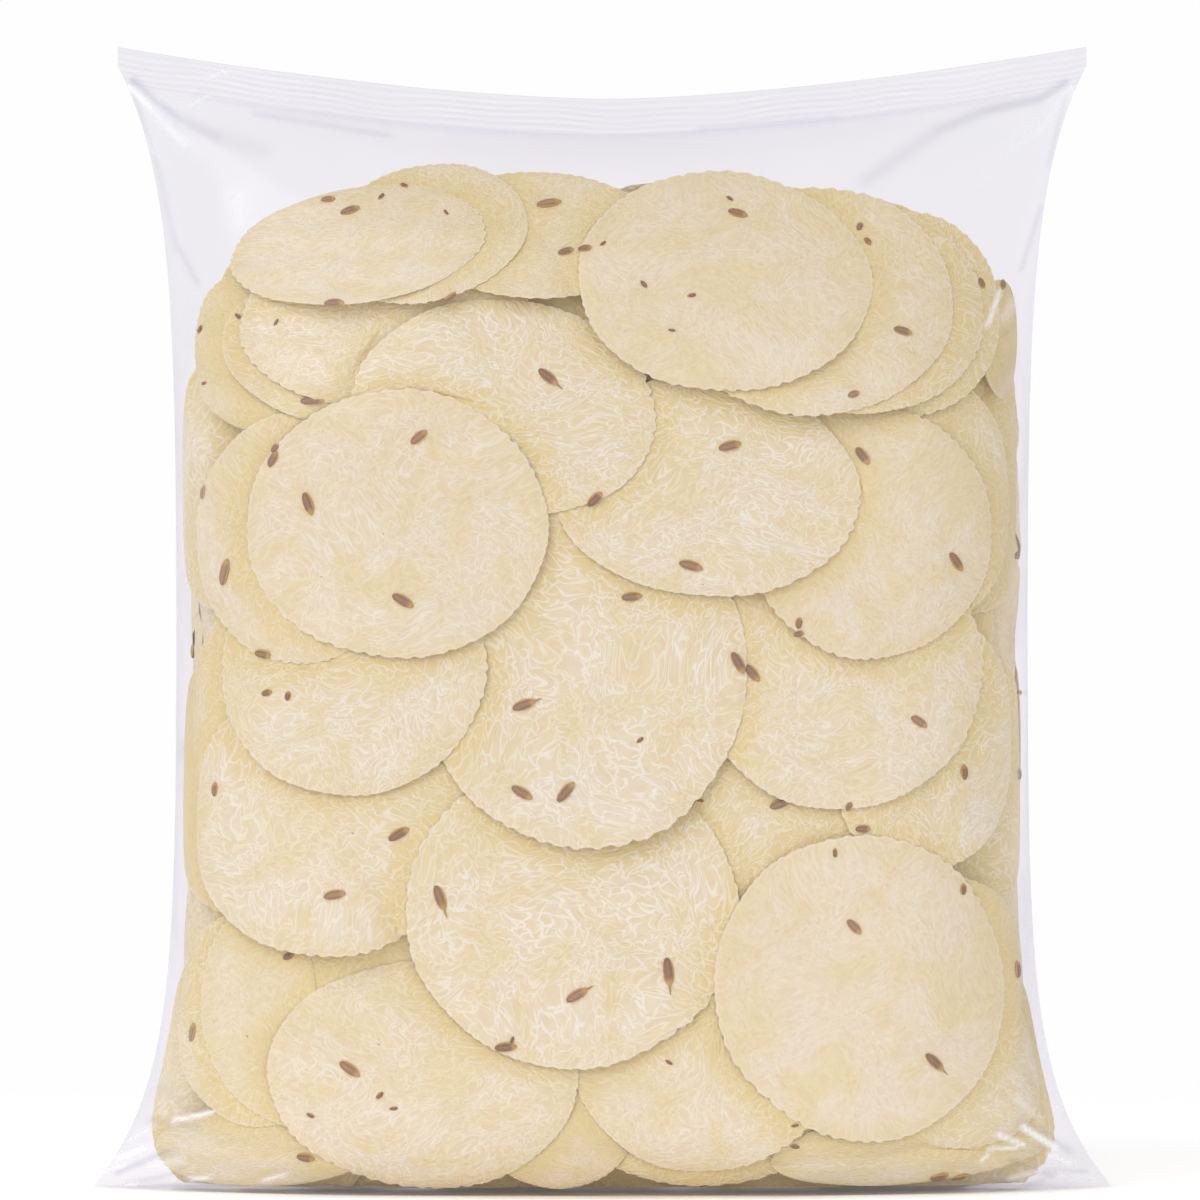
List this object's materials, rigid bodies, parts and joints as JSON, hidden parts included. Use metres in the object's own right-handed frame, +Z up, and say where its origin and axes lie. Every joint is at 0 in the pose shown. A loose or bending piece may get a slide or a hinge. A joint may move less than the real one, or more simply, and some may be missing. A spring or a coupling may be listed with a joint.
{
  "type": "clear bag of papads",
  "caption": "Clear heat-sealed pillow bag of thin round cumin papads, standing on its flattened bottom end.",
  "frame": {"origin": "centre of the bag's footprint, on the surface it stands on", "axes": "+Z up to the top seal, +X to the right along the top seal, front face towards -Y"},
  "size_m": [0.2284, 0.0762, 0.2553],
  "materials": {
    "papad": "dry, slightly waxy cream dough, milky and translucent",
    "film": "clear glossy plastic film with a faint lavender tint",
    "seed": "dry brown ribbed cumin seed"
  },
  "bodies": {
    "root": {"bag": "papad"}
  },
  "joints": []
}
